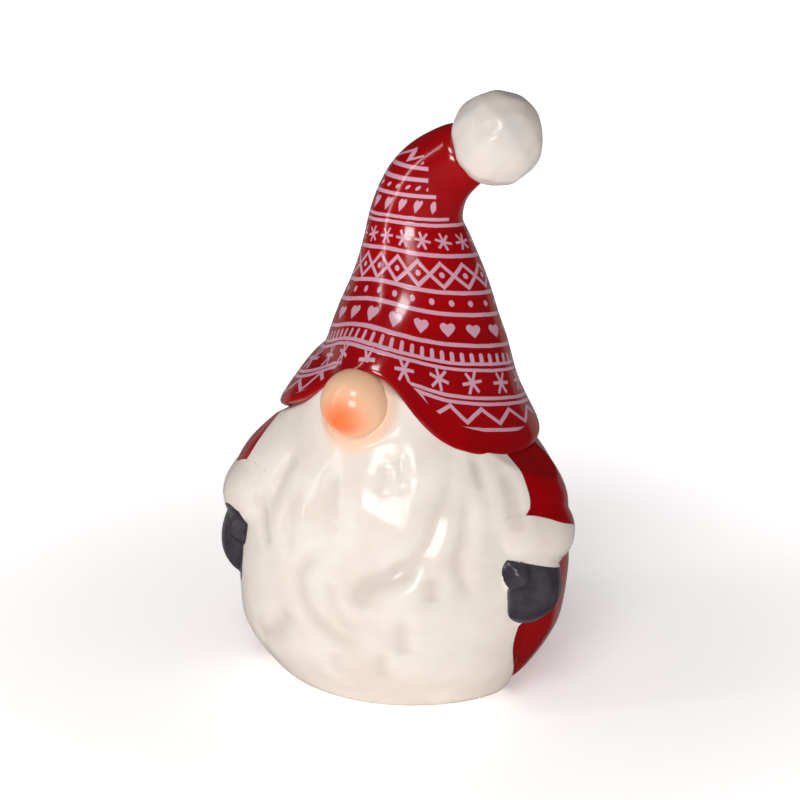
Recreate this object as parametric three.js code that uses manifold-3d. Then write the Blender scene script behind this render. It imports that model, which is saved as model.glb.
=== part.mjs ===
// A tomte, the bearded house gnome of Nordic folk craft, as a hollow slip-cast and glazed ornament.
// It is put together from thin cast shells and pressed relief pieces that are luted to each other
// with slip before firing: a coat on a foot plate, a beard, a nose, two arms that each have a
// sleeve, a cuff, a mitten and a thumb, and a pointed hat whose tip curls over to a pompom.
//
// Millimetres, +Z up. The gnome looks along -Y, and its left hand is on the +X side. An angle is
// counted in degrees round the gnome, from the front towards its left hand.

import * as THREE from "three";
import { ParametricGeometry } from "three/addons/geometries/ParametricGeometry.js";
import { mergeVertices } from "three/addons/utils/BufferGeometryUtils.js";
import Module from "manifold-3d";

const wasm = await Module();
wasm.setup();

// ---------------------------------------------------------------- driving dimensions

const wall = 3.6; // thickness of every slip-cast shell
const joint = 0.3; // room for slip between two pieces that are luted together

const bellyRadius = 44.6; // the coat at its widest, half its width
const depthShare = 0.9; // the belly's depth as a share of its width
const depthLoss = bellyRadius * (1 - depthShare);
const footRadius = 31; // the foot ring, at the table
const neckHeight = 86; // where the coat shell ends inside the hat

const plateThickness = 3;
const plateRise = 0.8; // the foot plate is set this far up inside the foot ring
const ventRadius = 4.5; // lets air out of the hollow in the kiln

const beardEdge = 2.2; // how proud the beard is of the coat at its sides
const beardFlare = 2.8; // how much prouder it is where it curls out above the foot
const flareHeight = 9; // where it curls out most
const flareSpread = 10;
const beardRounding = 6; // the higher, the fuller the beard stays towards its edge
const beardFullness = 1.3; // the higher, the sooner it thins out from its middle
const beardBack = -2; // its back lies this far inside the coat, where the coat cuts it off
const lockDepth = 0.7; // of the waves in its surface
const lockCount = 9; // waves in each radian round the gnome
const lockSway = 1.4;
const lockLength = 9; // height over which a wave sways
const locksMiddle = 36; // where the waves are deepest
const locksSpread = 34;
const rippleCount = 5; // of the finer waves that run aslant over the locks
const rippleLength = 4;
const beardTop = 95; // the beard is cut off by the hat below this

const noseRadius = 9;
const noseHeight = 83;
const noseReach = 30.3; // from the gnome's middle to the middle of its nose
const noseSquash = 0.97; // its depth as a share of its width

const brimLow = 67.5; // the hat's lower edge at the back
const brimTilt = 9; // how much higher the edge is in front, without its arch
const brimArch = 15.5; // how far the edge arches up over the nose
const archSpread = 31;
const noseBulge = 7.5; // how far the hat is pushed out over the nose
const bulgeWidth = 26; // in degrees round the hat
const bulgeHeight = 11;
const brimRoll = 2.4; // how much thicker the hat's wall is at its edge
const rollShare = 0.12; // how far up the hat the thick edge runs, as a share

const pompomRadius = 11.6;
const tipOpening = 4.2; // radius of the hole between the hat's hollow and the pompom's
const longDent = 0.4; // depth of the dents that run from pole to pole of the pompom
const spiralDent = 0.3; // depth of the dents that wind round it

// Each arm's reliefs lie on the coat, mirrored about a line that is `armsTurn` degrees round from
// the front. `angle` and `height` place the middle of one, `half` is its half width, half height
// and half thickness, and `tilt` turns it on the coat.
const armsTurn = 5;
const sleeve = { angle: 74, height: 60.5, half: [11, 14.5, 8.5], tilt: 0 };
const cuff = { angle: 70, height: 47.5, half: [17, 8, 7], tilt: -12 };
const leftMitten = { angle: 67, height: 34.5, half: [10.4, 12.5, 7.4], tilt: 6 };
const rightMitten = { angle: 66, height: 36, half: [10.4, 11, 7.2], tilt: 6 };
const thumb = { angle: 55, height: 39.5, half: [5.2, 5.6, 6.4], tilt: 0 };

// Outlines, as [height, radius].
const coatOutline = [
  [-1, footRadius - 1.4],
  [0, footRadius],
  [2, footRadius + 2.6],
  [6, bellyRadius - 7.8],
  [12, bellyRadius - 4],
  [18, bellyRadius - 1.6],
  [30, bellyRadius],
  [39, bellyRadius - 0.4],
  [47, bellyRadius - 1.2],
  [55, bellyRadius - 3.4],
  [62, bellyRadius - 7.2],
  [70, bellyRadius - 13],
  [78, bellyRadius - 18],
  [neckHeight + 1, 21.5],
];

// How far the beard stands in front of the gnome's middle, as [height, distance].
const beardOutline = [
  [-1, 32],
  [0, 33],
  [4, 36],
  [10, 39.5],
  [18, 42],
  [28, 43.5],
  [38, 43.5],
  [48, 42],
  [58, 39],
  [68, 35],
  [76, 32],
  [84, 30],
  [beardTop + 1, 28.5],
];

// How far round the beard reaches on the gnome's left and right, as [height, degrees].
const beardLeftEdge = [
  [-1, 70],
  [14, 68],
  [24, 65],
  [34, 66],
  [44, 73],
  [54, 76],
  [64, 73],
  [72, 68],
  [beardTop + 1, 60],
];
const beardRightEdge = [
  [-1, 70],
  [24, 67],
  [40, 62],
  [52, 56],
  [64, 50],
  [76, 46],
  [beardTop + 1, 44],
];

// Rings of the hat from brim to tip: where the middle of each is, and its radius.
const hatRings = [
  [0, -1, 64, 35.8],
  [0.3, -0.4, 72, 34.6],
  [1, 0.3, 80, 30.3],
  [1.8, 1.2, 88, 25.8],
  [1.6, 2, 96, 22.9],
  [1.8, 2.8, 106, 19.3],
  [1.3, 2.8, 116, 15.5],
  [0.8, 2.8, 124, 12.9],
  [2.1, 3, 130, 11.8],
  [4.6, 3, 135.2, 11.2],
  [9.2, 3, 140.2, 10.1],
  [16.7, 3, 145.3, 8.6],
];
const tip = new THREE.Vector3(16.7, 3, 145.3);
const pompomMiddle = new THREE.Vector3(24.3, 3, 149.3);

// ---------------------------------------------------------------- shape helpers

const { sin, cos, exp, max, round, PI } = Math;
const { degToRad: radians, lerp: mix, clamp } = THREE.MathUtils;
const bell = (x, width) => exp(-((x / width) ** 2));

// A smooth line through [height, value] pairs, as a function of height.
function outline(pairs) {
  const points = pairs.map(([height, value]) => new THREE.Vector2(height, value));
  const samples = new THREE.SplineCurve(points).getPoints(12 * pairs.length);
  return (height) => {
    const next = samples.findIndex((p) => p.x > height);
    if (next === 0) return samples[0].y;
    if (next < 0) return samples[samples.length - 1].y;
    const [a, b] = [samples[next - 1], samples[next]];
    return mix(a.y, b.y, (height - a.x) / (b.x - a.x));
  };
}

// A closed solid from a surface whose seams and poles meet.
function solid(surface) {
  const bare = new THREE.BufferGeometry();
  bare.setAttribute("position", surface.getAttribute("position"));
  bare.setIndex(surface.index);
  const merged = mergeVertices(bare, 1e-3);
  const corners = merged.index.array;
  const faces = [];
  for (let i = 0; i < corners.length; i += 3) {
    const [a, b, c] = corners.slice(i, i + 3);
    if (a !== b && b !== c && c !== a) faces.push(a, b, c);
  }
  const made = new wasm.Manifold(
    new wasm.Mesh({
      numProp: 3,
      vertProperties: merged.getAttribute("position").array,
      triVerts: Uint32Array.from(faces),
    }),
  );
  if (made.volume() < 0) throw new Error("a surface is inside out");
  return made;
}

// How finely the round pieces are divided.
const roundColumns = 44;
const coatRows = 15;
const hatColumns = 48;
const hatRows = 21;
const beardColumns = 48;
const beardRows = 18;
const pompomColumns = 24;
const pompomRows = 10;
const noseColumns = 24;
const noseRows = 14;
const reliefColumns = 20;
const reliefRows = 10;
const crumb = 0.03; // detail smaller than this is dropped where pieces are cut

// What is left of a piece after its neighbours are taken away, without loose crumbs.
function cut(piece, ...neighbours) {
  const left = neighbours.reduce((rest, neighbour) => rest.subtract(neighbour), piece);
  const lumps = left.decompose();
  lumps.sort((a, b) => b.volume() - a.volume());
  return lumps[0].simplify(crumb);
}

// A cast wall: `place` is called for the outside on the way up and the inside on the way down.
function shell(place, columns, rows) {
  const steps = 2 * rows + 2;
  return solid(
    new ParametricGeometry(
      (u, v, target) => {
        const step = round(v * steps) % steps;
        const inside = step > rows;
        const share = inside ? (steps - 1 - step) / rows : step / rows;
        place(2 * PI * u, share, inside, target);
      },
      columns,
      steps,
    ),
  );
}

// ---------------------------------------------------------------- coat and foot plate

const coatRadius = outline(coatOutline);

// A point at `angle` (in radians) and `height`, `out` proud of the coat.
function onCoat(angle, height, out, target) {
  const r = coatRadius(height) + out;
  return target.set(r * sin(angle), -(r - depthLoss) * cos(angle), height);
}

function coatShell() {
  return shell(
    (angle, share, inside, target) => {
      onCoat(angle, neckHeight * share, inside ? -wall : 0, target);
    },
    roundColumns,
    coatRows,
  );
}

// The coat without its hollow, grown to leave room for slip round it.
function coatBlock(grown) {
  const overrun = 4;
  return solid(
    new ParametricGeometry(
      (u, v, target) => {
        const row = round(v * (coatRows + 2));
        const share = clamp((row - 1) / coatRows, 0, 1);
        const height = mix(-overrun, neckHeight + overrun, share);
        onCoat(2 * PI * u, height, grown, target);
        if (row === 0 || row === coatRows + 2) target.set(0, 0, height);
      },
      roundColumns,
      coatRows + 2,
    ),
  );
}

function footPlate() {
  return shell(
    (angle, share, inside, target) => {
      if (inside) target.set(ventRadius * sin(angle), -ventRadius * cos(angle), 0);
      else onCoat(angle, 0, -wall - joint, target);
      target.z = plateRise + plateThickness * share;
    },
    roundColumns,
    1,
  );
}

// ---------------------------------------------------------------- hat and pompom

const hatLine = new THREE.CatmullRomCurve3(
  hatRings.map(([x, y, z]) => new THREE.Vector3(x, y, z)),
);
const hatRadius = outline(hatRings.map(([, , , r], ring) => [ring / (hatRings.length - 1), r]));

const archTop = brimLow + brimTilt + brimArch;

// An angle from 0 to a full turn, as one that runs both ways from the front.
const fromFront = (angle) => (angle > PI ? angle - 2 * PI : angle);

// How far along its middle line the hat begins, so that its edge arches over the nose.
function brimStart(angle) {
  const turn = fromFront(angle);
  const height =
    brimLow + brimTilt * max(0, cos(turn)) ** 1.5 + brimArch * bell(turn, radians(archSpread));
  const ringSpacing = hatRings[1][2] - hatRings[0][2];
  return (height - hatRings[0][2]) / (ringSpacing * (hatRings.length - 1));
}

function onHat(angle, share, out, target) {
  const along = mix(brimStart(angle), 1, share);
  const middle = hatLine.getPoint(along);
  const rise = hatLine.getTangent(along);
  const side = new THREE.Vector3(rise.z, 0, -rise.x).normalize();
  const turn = fromFront(angle);
  const bulge =
    noseBulge * bell(turn, radians(bulgeWidth)) * bell(middle.z - archTop, bulgeHeight);
  const r = hatRadius(along) + bulge + out;
  target.copy(middle).addScaledVector(side, r * sin(angle));
  target.y -= r * cos(angle);
  return target;
}

function hatShell() {
  return shell(
    (angle, share, inside, target) => {
      const thickness = wall + brimRoll * bell(share, rollShare);
      onHat(angle, share, inside ? -thickness : 0, target);
    },
    hatColumns,
    hatRows,
  );
}

// The hat without its hollow, grown, and closed below by a point inside the coat.
function hatBlock(grown) {
  const coneDrop = 3;
  return solid(
    new ParametricGeometry(
      (u, v, target) => {
        const row = round(v * (hatRows + 2));
        const share = clamp((row - 1) / hatRows, 0, 1);
        onHat(2 * PI * u, share, grown, target);
        if (row > 0) target.z -= grown * (1 - share);
        if (row === 0) target.set(0, 0, brimLow - coneDrop);
        if (row === hatRows + 2) target.copy(tip).add(new THREE.Vector3(grown, 0, grown / 2));
      },
      hatColumns,
      hatRows + 2,
    ),
  );
}

// A dented ball round `middle`, open towards the hat's tip.
function pompomShell() {
  const away = pompomMiddle.clone().sub(tip).normalize();
  const side = new THREE.Vector3(away.z, 0, -away.x);
  const across = new THREE.Vector3().crossVectors(away, side);
  const rows = pompomRows;
  const dents = (turn, fromPole) =>
    longDent * sin(3 * turn + 1) * sin(2 * fromPole) +
    spiralDent * cos(2 * turn - 2 * fromPole);
  return solid(
    new ParametricGeometry(
      (u, v, target) => {
        const step = round(v * (2 * rows + 1));
        const inside = step > rows;
        const share = inside ? (2 * rows + 1 - step) / rows : step / rows;
        const ball = inside ? pompomRadius - wall : pompomRadius;
        const fromPole = share * (PI - Math.asin(tipOpening / ball));
        const turn = 2 * PI * u;
        const r = ball + dents(turn, fromPole) * sin(fromPole);
        target
          .copy(pompomMiddle)
          .addScaledVector(away, r * cos(fromPole))
          .addScaledVector(side, r * sin(fromPole) * cos(turn))
          .addScaledVector(across, -r * sin(fromPole) * sin(turn));
      },
      pompomColumns,
      2 * rows + 1,
    ),
  );
}

// ---------------------------------------------------------------- reliefs on the coat

// A rounded lens that follows the coat, on the gnome's left (side 1) or right (side -1).
function relief({ angle, height, half, tilt }, side, grown) {
  const mirror = radians(armsTurn);
  const middle = radians(angle);
  const reach = coatRadius(height);
  const turn = radians(tilt);
  return solid(
    new ParametricGeometry(
      (u, v, target) => {
        const across = sin(PI * v) * cos(2 * PI * u) * (half[0] + grown);
        const along = side * sin(PI * v) * sin(2 * PI * u) * (half[1] + grown);
        const out = -cos(PI * v) * (half[2] + grown);
        const sideways = across * cos(turn) - along * sin(turn);
        const up = across * sin(turn) + along * cos(turn);
        onCoat(mirror + side * (middle + sideways / reach), height + up, out, target);
      },
      reliefColumns,
      reliefRows,
    ),
  );
}

// ---------------------------------------------------------------- beard and nose

const beardFront = outline(beardOutline);
const leftEdge = outline(beardLeftEdge);
const rightEdge = outline(beardRightEdge);

// The beard is a mat that wraps the coat. Its loops run over the front and back behind it.
function beardBlock(grown) {
  return solid(
    new ParametricGeometry(
      (u, v, target) => {
        const row = round(v * (beardRows + 2));
        const share = clamp((row - 1) / beardRows, 0, 1);
        const height = mix(-grown, beardTop, share);
        const column = round(u * beardColumns) % beardColumns;
        const front = column <= beardColumns / 2;
        const across = (4 * column) / beardColumns;
        const sideways = front ? across - 1 : 3 - across;
        const reach = radians((sideways > 0 ? leftEdge : rightEdge)(height));
        const turn = sideways * (reach + grown / bellyRadius);
        const full = beardFront(height) - (coatRadius(height) - depthLoss);
        const edge = (1 - sideways ** beardRounding) ** 0.5;
        const sway = lockSway * sin(height / lockLength);
        const locks =
          lockDepth * sin(lockCount * turn + sway) * bell(height - locksMiddle, locksSpread);
        const ripples = (lockDepth / 2) * sin(height / rippleLength + rippleCount * turn);
        const side = beardEdge + beardFlare * bell(height - flareHeight, flareSpread);
        const body = mix(side, full, cos((sideways * PI) / 2) ** beardFullness);
        const out = (body + locks + ripples) * edge + grown;
        const folded = row === 0 || row === beardRows + 2;
        onCoat(turn, height, front && !folded ? out : beardBack, target);
      },
      beardColumns,
      beardRows + 2,
    ),
  );
}

function noseBall(grown) {
  const ball = new THREE.SphereGeometry(noseRadius + grown, noseColumns, noseRows);
  ball.scale(1, 1, noseSquash);
  ball.rotateX(PI / 2);
  ball.translate(0, -noseReach, noseHeight);
  return solid(ball);
}

// ---------------------------------------------------------------- colours

const glaze = (color, roughness) => () =>
  new THREE.MeshStandardMaterial({ color, roughness, metalness: 0 });
const coatRed = glaze(0x9a0610, 0.18);
const hatRed = glaze(0x8f0510, 0.18);
const white = glaze(0xe9dfd5, 0.2);
const skin = glaze(0xf6c29c, 0.2);
const grey = glaze(0x55515a, 0.25);
const biscuit = glaze(0xe4dccf, 0.8);

// ---------------------------------------------------------------- the gnome

const gnome = new THREE.Group();
gnome.name = "tomte_gnome";

function add(name, piece, material) {
  const { vertProperties, triVerts } = piece.getMesh();
  const geometry = new THREE.BufferGeometry();
  geometry.setAttribute("position", new THREE.BufferAttribute(vertProperties, 3));
  geometry.setIndex(new THREE.BufferAttribute(triVerts, 1));
  geometry.computeVertexNormals();
  const mesh = new THREE.Mesh(geometry, material());
  mesh.name = name;
  gnome.add(mesh);
}

const coatRoom = coatBlock(joint);
const hatRoom = hatBlock(joint);
const limbRoom = [];

add("coat", coatShell(), coatRed);
add("foot_plate", footPlate(), biscuit);
add("hat", cut(hatShell(), coatRoom), hatRed);
add("pompom", cut(pompomShell(), hatRoom), white);
add("nose", cut(noseBall(0), coatRoom, hatRoom), skin);

for (const [side, name, mitten] of [
  [1, "left", leftMitten],
  [-1, "right", rightMitten],
]) {
  const cuffRoom = relief(cuff, side, joint);
  const mittenRoom = relief(mitten, side, joint);
  const thumbRoom = relief(thumb, side, joint);
  add(`cuff_${name}`, cut(relief(cuff, side, 0), coatRoom), white);
  add(`mitten_${name}`, cut(relief(mitten, side, 0), coatRoom, cuffRoom), grey);
  add(`thumb_${name}`, cut(relief(thumb, side, 0), coatRoom, cuffRoom, mittenRoom), grey);
  limbRoom.push(cuffRoom, mittenRoom, thumbRoom);
}

add("beard", cut(beardBlock(0), coatRoom, hatRoom, noseBall(joint), ...limbRoom), white);

const beardRoom = beardBlock(joint);
for (const [side, name] of [
  [1, "left"],
  [-1, "right"],
]) {
  const piece = cut(relief(sleeve, side, 0), coatRoom, hatRoom, beardRoom, ...limbRoom);
  add(`sleeve_${name}`, piece, coatRed);
}

// Stand the gnome on the table with the middle of its outline at the origin.
const box = new THREE.Box3().setFromObject(gnome);
gnome.position.set(-(box.min.x + box.max.x) / 2, -(box.min.y + box.max.y) / 2, -box.min.z);
gnome.updateMatrixWorld(true);

export default gnome;
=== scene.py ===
"""The looks of a tomte, the bearded house gnome of Nordic folk craft: a slip-cast figurine under a
clear gloss glaze, with a red coat and hat, a white beard, cuffs and pompom, grey mittens, a peach
nose, and a knitted pattern printed round the hat.

Design values are in millimetres and degrees. A turn is counted round the gnome from its front
towards its left hand, and the gnome looks along -Y. Meshes are written in metres."""

import bmesh
import bpy
import math
import numpy as np
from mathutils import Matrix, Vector


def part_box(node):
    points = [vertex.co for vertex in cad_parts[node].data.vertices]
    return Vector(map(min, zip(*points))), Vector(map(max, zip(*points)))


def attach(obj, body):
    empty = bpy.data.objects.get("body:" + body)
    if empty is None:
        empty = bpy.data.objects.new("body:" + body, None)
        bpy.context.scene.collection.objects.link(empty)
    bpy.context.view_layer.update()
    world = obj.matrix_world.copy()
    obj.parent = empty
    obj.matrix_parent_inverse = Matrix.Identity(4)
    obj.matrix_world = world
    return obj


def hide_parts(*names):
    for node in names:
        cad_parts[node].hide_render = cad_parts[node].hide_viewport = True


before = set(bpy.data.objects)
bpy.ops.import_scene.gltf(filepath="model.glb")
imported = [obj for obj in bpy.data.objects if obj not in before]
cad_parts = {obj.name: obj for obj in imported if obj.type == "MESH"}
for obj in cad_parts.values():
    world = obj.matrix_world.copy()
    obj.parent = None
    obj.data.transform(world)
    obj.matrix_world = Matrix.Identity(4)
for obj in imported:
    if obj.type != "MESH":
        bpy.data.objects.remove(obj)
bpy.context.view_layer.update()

mm = 0.001

# ---------------------------------------------------------------- sizes taken from the frame


def middle_and_half(node):
    """A CAD node's middle and half its size, in millimetres."""
    low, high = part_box(node)
    return np.array((low + high) / 2) / mm, np.array((high - low) / 2) / mm


coat_middle, coat_half = middle_and_half("coat")
_, plate_half = middle_and_half("foot_plate")
nose_middle, nose_half = middle_and_half("nose")
pompom_middle, pompom_half = middle_and_half("pompom")
axis = coat_middle[:2]
belly = coat_half[0]
# The coat is this much less deep than wide, from its axis.
depth_loss = coat_half[0] - coat_half[1]
neck = 2 * coat_half[2]
wall = 3.6
slip_joint = 0.3
foot = plate_half[0] + wall + slip_joint

# ---------------------------------------------------------------- outlines and soft shapes


def smooth(points, steps=16, closed=False):
    """Points along a smooth line through the given ones."""
    given = np.array(points, float)
    if closed:
        before, after = given[-1:], given[:2]
    else:
        before, after = 2 * given[:1] - given[1:2], 2 * given[-1:] - given[-2:-1]
    chain = np.concatenate((before, given, after))
    pieces = []
    for a, b, c, d in zip(chain, chain[1:], chain[2:], chain[3:]):
        t = np.linspace(0, 1, steps, endpoint=False)[:, None]
        bend = (2 * a - 5 * b + 4 * c - d) * t**2 + (3 * b - a - 3 * c + d) * t**3
        pieces.append((2 * b + (c - a) * t + bend) / 2)
    pieces.append(given[:1] if closed else given[-1:])
    return np.concatenate(pieces)


def outline(*pairs):
    """A smooth line through (place, value) pairs, as a function of the place."""
    line = smooth(pairs)
    return lambda place: np.interp(place, line[:, 0], line[:, 1])


def bell(x, width):
    """A soft bump: 1 at zero, fading away over the width."""
    return np.exp(-((np.asarray(x) / width) ** 2))


def blend_up(x, start, end):
    """0 before start, 1 after end, and a soft step between them."""
    t = np.clip((np.asarray(x) - start) / (end - start), 0, 1)
    return t * t * (3 - 2 * t)


def soft_top(a, b, width):
    """The higher of two surfaces, with a rounded valley where they meet."""
    near = np.clip(1 - np.abs(a - b) / width, 0, None)
    return np.maximum(a, b) + near**2 * width / 4


coat_radius = outline(
    (-1, foot - 1.4),
    (0, foot),
    (2, foot + 2.6),
    (6, belly - 7.8),
    (12, belly - 4),
    (18, belly - 1.6),
    (30, belly),
    (39, belly - 0.4),
    (47, belly - 1.2),
    (55, belly - 3.4),
    (62, belly - 7.2),
    (70, belly - 13),
    (78, belly - 18),
    (neck + 1, belly - 23),
    (neck + 12, belly - 30),
)


def on_coat(turn, height, out):
    """Places in metres that stand `out` proud of the bare coat."""
    r = coat_radius(height) + out
    angle = np.radians(turn)
    x = axis[0] + r * np.sin(angle)
    y = axis[1] - (r - depth_loss) * np.cos(angle)
    return np.stack((x, y, height + 0 * angle), -1) * mm


# ---------------------------------------------------------------- the hat's lines

# The height at which the hat's middle line starts, and the height it would gain over its whole
# length if it kept its first pace.
hat_start = 64
hat_gain = 88
# The hat's middle line from brim to tip, from the coat's axis: x, y, height, radius.
hat_line = smooth(
    [
        (0, -1, hat_start, 35.8),
        (0.3, -0.4, 72, 34.6),
        (1, 0.3, 80, 30.3),
        (1.8, 1.2, 88, 25.8),
        (1.6, 2, 96, 22.9),
        (1.8, 2.8, 106, 19.3),
        (1.3, 2.8, 116, 15.5),
        (0.8, 2.8, 124, 12.9),
        (2.1, 3, 130, 11.8),
        (4.6, 3, 135.2, 11.2),
        (9.2, 3, 140.2, 10.1),
        (16.7, 3, 145.3, 8.6),
    ]
)
hat_shares = np.linspace(0, 1, len(hat_line))
hat_tip = hat_line[-1]


def hat_middle(along):
    """The middle line's x, y, height and radius at a share of its length."""
    return np.stack([np.interp(along, hat_shares, hat_line[:, n]) for n in range(4)], -1)


def hat_bulge(turn, height):
    """The hat's swell above the nose."""
    return 7.5 * bell(turn, 26) * bell(height - 92, 11)


def brim_height(turn):
    """The hat's edge: low behind, a little higher in front, and arched over the nose."""
    lean = np.clip(np.cos(np.radians(turn)), 0, 1) ** 1.5
    return 67.5 + 9 * lean + 15.5 * bell(turn, 31) + 1.8 * bell(turn + 62, 24)


# ---------------------------------------------------------------- the relief on the coat

# The arms, as pillows on the coat: turn, height, half width, half height, how proud, tilt, and
# how full the pillow is towards its edge.
arms = {
    "left": {
        "sleeve": (80, 59.5, 20, 17.5, 6.9, -6, 0.85),
        "cuff": (77, 47, 15.5, 8.4, 7.8, -13, 0.6),
        "mitten": (71, 34.5, 10.8, 12.4, 7.6, 6, 0.5),
        "thumb": (61.5, 39.2, 4.6, 5.4, 7.9, 0, 0.7),
    },
    "right": {
        "sleeve": (-57, 60.5, 23, 17.5, 7.5, 10, 0.85),
        "cuff": (-60, 49.5, 21, 8.8, 7.6, 13, 0.62),
        "mitten": (-62, 36.2, 10.4, 11.2, 7.4, -6, 0.5),
        "thumb": (-50, 41.5, 3.8, 5, 7.2, -14, 0.6),
    },
}

beard_front = outline(
    (-1, 32),
    (0, 33),
    (4, 36),
    (10, 39.5),
    (18, 42),
    (28, 43.5),
    (38, 43.5),
    (48, 42.3),
    (58, 40.3),
    (66, 37.9),
    (71, 35),
    (76, 32.2),
    (84, 30),
    (98, 28.5),
)
beard_left_edge = outline(
    (-1, 77),
    (4, 72),
    (10, 66.5),
    (17, 62.5),
    (24, 64),
    (32, 68),
    (44, 70),
    (52, 68),
    (58, 70),
    (64, 71),
    (72, 72),
    (98, 70),
)
beard_right_edge = outline(
    (-1, 66),
    (8, 62),
    (16, 58),
    (24, 55),
    (34, 53),
    (44, 55),
    (52, 55),
    (60, 54),
    (66, 55.5),
    (72, 59),
    (98, 62),
)

# Grooves that part the locks: their places as (turn, height), how deep, how wide, and how much
# the lock on their right-hand side swells.
grooves = [
    ([(43, 69), (38, 61), (34, 55.5), (31, 49.8), (26, 44.5), (20, 41)], 0.9, 2.1, 0.5),
    ([(26, 44.5), (20, 41), (13, 38.5), (10, 35.2), (8.5, 31)], 1.5, 2.4, 0.8),
    ([(46, 63), (44, 55.5), (43, 50.5), (41, 45.5), (42, 40), (46, 33.8)], 0.9, 1.7, 0.5),
    ([(53, 69), (52, 62)], 0.8, 1.7, 0.3),
    ([(64, 66), (62.5, 56.2), (62, 50.5)], 1.7, 2.0, 0.5),
    ([(33, 41.5), (33, 34)], 0.9, 1.7, 0.3),
    ([(23, 30), (23, 22), (25, 18.5)], 0.9, 1.8, 0.4),
    ([(16, 19), (16, 10)], 0.8, 1.7, 0.4),
    ([(-4, 47), (-11, 40), (-12, 35), (-8, 27), (0, 22.5), (10, 21)], 1.0, 2.0, 0.6),
    ([(-2, 39), (0, 32.8), (4, 27.5), (10, 24.8)], 0.7, 1.6, 0.4),
    ([(-36, 56), (-31, 48), (-26, 42)], 0.9, 1.8, 0.4),
    ([(-20, 58), (-18, 50), (-16, 42)], 0.6, 1.8, 0.3),
    ([(-17, 27), (-26, 18.5), (-38, 14.5)], 0.9, 2.2, 0.5),
    ([(0, 18), (0, 10)], 0.7, 1.8, 0.4),
    ([(-4, 66), (-3, 60), (-1, 53)], 0.7, 1.7, 0.0),
    ([(16.5, 69), (16, 62)], 0.6, 1.5, 0.0),
    ([(21, 71), (23, 64)], 0.6, 1.5, 0.3),
    ([(-24, 68), (-27, 60), (-28, 52)], 0.7, 2.2, 0.4),
]

# Broad swells and hollows of the beard: turn, height, half width, half height, how high.
swells = [
    (33, 13, 7, 5, 1.1),
    (51, 12, 8, 5, 1.2),
    (20, 14, 5, 5, 0.8),
    (44, 22, 11, 3.6, -1.2),
    (-44, 17, 9, 7, 0.5),
    (24, 34, 5, 6, 0.8),
    (-22, 33, 9, 8, 0.7),
    (36, 30, 6, 8, 0.6),
    (13, 30, 6, 4, -0.6),
    (-4, 12, 9, 5, 0.7),
    (6.5, 59, 6.5, 9.5, 1.3),
    (36, 68, 8, 7, 0.7),
    (56, 60, 5, 7, 0.7),
    (-36, 66, 7, 5, 0.8),
]


def pillow(turn, height, at, top, half_width, half_height, proud, tilt, full, square=2.3):
    """A rounded pad on the coat. Past its edge the value runs on below the coat."""
    across = np.radians(turn - at) * belly
    up = height - top
    c, s = math.cos(math.radians(tilt)), math.sin(math.radians(tilt))
    u = np.abs((across * c + up * s) / half_width)
    v = np.abs((up * c - across * s) / half_height)
    inside = 1 - (u**square + v**square) ** (2 / square)
    return proud * np.sign(inside) * np.abs(inside) ** full


def along_groove(turn, height, points):
    """How far each place is from a groove's line, on which side, and how near the groove's end."""
    line = smooth(points, 6)
    line = np.stack((np.radians(line[:, 0]) * belly, line[:, 1]), -1)
    spot = np.stack((np.radians(turn) * belly, height), -1)
    nearest = np.full(turn.shape, 1e9)
    side = np.zeros(turn.shape)
    share = np.zeros(turn.shape)
    for k, (a, b) in enumerate(zip(line, line[1:])):
        run = b - a
        t = np.clip(((spot - a) @ run) / (run @ run), 0, 1)
        off = spot - a - t[..., None] * run
        distance = np.hypot(off[..., 0], off[..., 1])
        closer = distance < nearest
        nearest = np.where(closer, distance, nearest)
        side = np.where(closer, np.sign(off[..., 1] * run[0] - off[..., 0] * run[1]), side)
        share = np.where(closer, (k + t) / (len(line) - 1), share)
    return nearest, side, np.clip(np.minimum(share, 1 - share) * 5 + 0.25, 0, 1)


def locks(turn, height):
    """The waves of the beard, and how deep each place lies in a groove."""
    wave = 0.45 * np.sin(np.radians(7.5 * turn) + 1.2 * np.sin(height / 9)) * bell(height - 40, 30)
    wave = wave + 0.3 * np.sin(height / 4.6 + np.radians(4 * turn)) * bell(height - 22, 20)
    deep = np.zeros(turn.shape)
    for points, depth, width, swell in grooves:
        distance, side, strength = along_groove(turn, height, points)
        cut = 1.25 * depth * strength * bell(distance, 1.35 * width)
        lip = swell * strength * bell(distance - 2.6 * width, 1.8 * width) * (side > 0)
        wave = wave - cut + lip
        deep = deep + cut
    for at, top, half_width, half_height, high in swells:
        across = np.radians(turn - at) * belly
        wave = wave + high * bell(np.hypot(across / half_width, (height - top) / half_height), 1)
    return wave, deep


def beard_relief(turn, height):
    """How far the beard stands out, and how deep each place lies in a groove."""
    reach = np.where(turn > 0, beard_left_edge(height), beard_right_edge(height))
    share = np.abs(turn) / (reach + 1.5)
    inner = np.clip(share, 0, 1)
    full = beard_front(height) - (coat_radius(height) - depth_loss)
    side = 2.2 + 1.9 * bell(height - 9, 10)
    body = side + (full - side) * np.cos(inner * np.pi / 2) ** 1.3
    wave, deep = locks(turn, height)
    edge = np.sqrt(1 - inner**10)
    past = np.clip(share - 1, 0, None) * 60
    return (body + wave) * edge - past, deep * edge


def nose_fillet(turn, height, out):
    """How much the beard rises to meet the nose."""
    place = on_coat(turn, height, out) / mm
    distance = np.linalg.norm(place - nose_middle, axis=-1)
    return 1.5 * bell(np.clip(distance - nose_half[0], 0, None), 2.0)


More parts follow.
